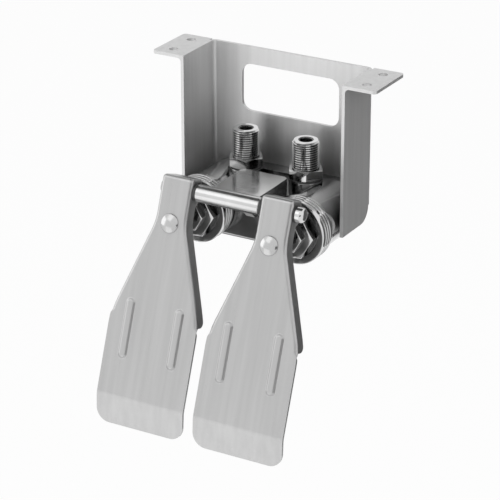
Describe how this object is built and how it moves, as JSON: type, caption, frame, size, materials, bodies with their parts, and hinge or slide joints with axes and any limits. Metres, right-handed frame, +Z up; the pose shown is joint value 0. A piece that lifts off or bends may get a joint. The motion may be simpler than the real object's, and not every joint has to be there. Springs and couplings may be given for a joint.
{
  "type": "pedal tap valve",
  "caption": "Self-closing double pedal tap valve: hinged steel paddles press sprung stems in a chromed mixing body, hung from a folded bracket under a basin.",
  "frame": {"origin": "centre of the bracket's top mounting face, which lies against the basin's underside", "axes": "+X to the right seen from the front, +Y back towards the wall, +Z up"},
  "size_m": [0.19, 0.1894, 0.2606],
  "materials": {
    "pedal_steel": "satin stamped stainless sheet",
    "bracket_steel": "brushed folded stainless sheet",
    "chrome": "polished chrome plate",
    "pin_steel": "turned stainless steel",
    "brass": "machined brass",
    "nylon": "dark grey nylon",
    "rubber": "black nitrile rubber",
    "fibre": "dark grey sealing fibre"
  },
  "bodies": {
    "valve": {"mounting_bracket": "bracket_steel", "valve_body": "chrome", "hinge_pin": "pin_steel", "hinge_cap_nut": "chrome", "hinge_washers": "nylon", "outlet_shank": "chrome", "outlet_washer": "pin_steel", "outlet_locknut": "brass", "body_bolts": "pin_steel", "body_bolt_washers": "pin_steel", "left_bonnet": "chrome", "left_ring_nut": "chrome", "left_gland_nut": "chrome", "left_bonnet_gasket": "fibre", "left_seat_ring": "brass", "left_stem_o_ring": "rubber", "left_return_spring": "pin_steel", "left_inlet_shank": "chrome", "left_inlet_gasket": "fibre", "left_inlet_strainer": "pin_steel", "right_bonnet": "chrome", "right_ring_nut": "chrome", "right_gland_nut": "chrome", "right_bonnet_gasket": "fibre", "right_seat_ring": "brass", "right_stem_o_ring": "rubber", "right_return_spring": "pin_steel", "right_inlet_shank": "chrome", "right_inlet_gasket": "fibre", "right_inlet_strainer": "pin_steel"},
    "left_pedal_lever": {"left_pedal": "pedal_steel", "left_push_screw": "pin_steel", "left_lock_nut": "pin_steel", "left_pedal_bush": "nylon"},
    "left_plunger": {"left_stem": "pin_steel", "left_poppet": "brass", "left_seat_washer": "rubber"},
    "right_pedal_lever": {"right_pedal": "pedal_steel", "right_push_screw": "pin_steel", "right_lock_nut": "pin_steel", "right_pedal_bush": "nylon"},
    "right_plunger": {"right_stem": "pin_steel", "right_poppet": "brass", "right_seat_washer": "rubber"}
  },
  "joints": [
    {"name": "left_pedal_hinge", "type": "hinge", "parent": "valve", "child": "left_pedal_lever", "pos_m": [-0.0425, -0.06997, -0.087], "axis": [1, 0, 0], "range_deg": [0, 12], "stiffness_Nm_per_rad": 4, "springref_deg": -14.32},
    {"name": "left_stem_slide", "type": "slide", "parent": "valve", "child": "left_plunger", "axis": [0, 1, 0], "range_m": [0, 0.00531], "deforming": ["left_return_spring"]},
    {"name": "right_pedal_hinge", "type": "hinge", "parent": "valve", "child": "right_pedal_lever", "pos_m": [0.0425, -0.06997, -0.087], "axis": [1, 0, 0], "range_deg": [0, 12], "stiffness_Nm_per_rad": 4, "springref_deg": -14.32},
    {"name": "right_stem_slide", "type": "slide", "parent": "valve", "child": "right_plunger", "axis": [0, 1, 0], "range_m": [0, 0.00531], "deforming": ["right_return_spring"]}
  ],
  "couplings": [
    {"joint": "left_stem_slide", "follows": "left_pedal_hinge", "m_per_rad": 0.02535},
    {"joint": "right_stem_slide", "follows": "right_pedal_hinge", "m_per_rad": 0.02535}
  ]
}
